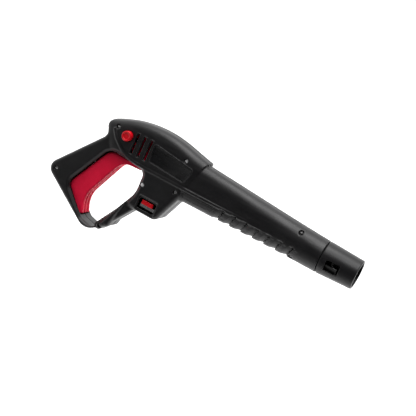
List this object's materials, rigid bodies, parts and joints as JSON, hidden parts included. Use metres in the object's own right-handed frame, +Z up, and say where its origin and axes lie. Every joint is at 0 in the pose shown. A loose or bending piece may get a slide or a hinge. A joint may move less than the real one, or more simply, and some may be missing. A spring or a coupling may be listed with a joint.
{
  "type": "pressure washer spray gun",
  "caption": "Hand-held trigger gun for a pressure washer: closed loop grip, squeeze trigger, safety button, ribbed barrel and a round lance socket.",
  "frame": {"origin": "centre of the lance socket's mouth", "axes": "+X forward along the barrel and out of the lance socket, +Z up, +Y to the gun's left"},
  "size_m": [0.4335, 0.0478, 0.167],
  "materials": {
    "housing_plastic": "fine textured black",
    "collar_plastic": "satin black",
    "insert_plastic": "satin deep black",
    "badge_plastic": "smooth black",
    "trigger_red": "satin red",
    "button_red": "bright red",
    "screw_steel": "dark zinc",
    "bright_steel": "bright",
    "spring_steel": "drawn wire",
    "brass": "machined",
    "seal_rubber": "soft black"
  },
  "bodies": {
    "housing": {"housing_right": "housing_plastic", "housing_left": "housing_plastic", "housing_screws": "screw_steel", "badge_right": "badge_plastic", "badge_left": "badge_plastic", "trigger_pin": "bright_steel", "trigger_spring": "spring_steel", "valve_body": "brass", "stem_guide": "brass", "stem_seal": "seal_rubber", "valve_seat": "bright_steel", "valve_spring": "spring_steel", "inlet_tube": "brass", "hose_socket": "insert_plastic", "hose_seal": "seal_rubber", "outlet_tube": "bright_steel", "outlet_seal": "seal_rubber", "catch_springs": "spring_steel", "nose_collar": "collar_plastic", "bayonet_insert": "insert_plastic", "sleeve_spring": "spring_steel"},
    "trigger": {"trigger": "trigger_red"},
    "valve_stem": {"valve_stem": "bright_steel", "valve_ball": "bright_steel"},
    "safety_button": {"safety_button": "button_red"},
    "hose_catch": {"catch_plate": "bright_steel", "catch_button": "button_red"},
    "lance_sleeve": {"lance_sleeve": "insert_plastic", "lance_seal": "seal_rubber"}
  },
  "joints": [
    {"name": "trigger_squeeze", "type": "hinge", "parent": "housing", "child": "trigger", "pos_m": [-0.318, 0, 0.002], "axis": [0, 1, 0], "range_deg": [0, 8], "stiffness_Nm_per_rad": 6, "springref_deg": -5.73, "deforming": ["trigger_spring"]},
    {"name": "stem_slide", "type": "slide", "parent": "housing", "child": "valve_stem", "axis": [1, 0, 0], "range_m": [0, 0.0026], "deforming": ["valve_spring"]},
    {"name": "safety_slide", "type": "slide", "parent": "housing", "child": "safety_button", "axis": [0, 1, 0], "range_m": [0, 0.005]},
    {"name": "catch_slide", "type": "slide", "parent": "housing", "child": "hose_catch", "axis": [0, 1, 0], "range_m": [0, 0.003], "stiffness_N_per_m": 1500, "springref_m": -0.002, "deforming": ["catch_springs"]},
    {"name": "sleeve_slide", "type": "slide", "parent": "housing", "child": "lance_sleeve", "axis": [-1, 0, 0], "range_m": [0, 0.004], "stiffness_N_per_m": 1500, "springref_m": -0.002, "deforming": ["sleeve_spring"]}
  ],
  "couplings": [
    {"joint": "stem_slide", "follows": "trigger_squeeze", "m_per_rad": 0.0185}
  ]
}
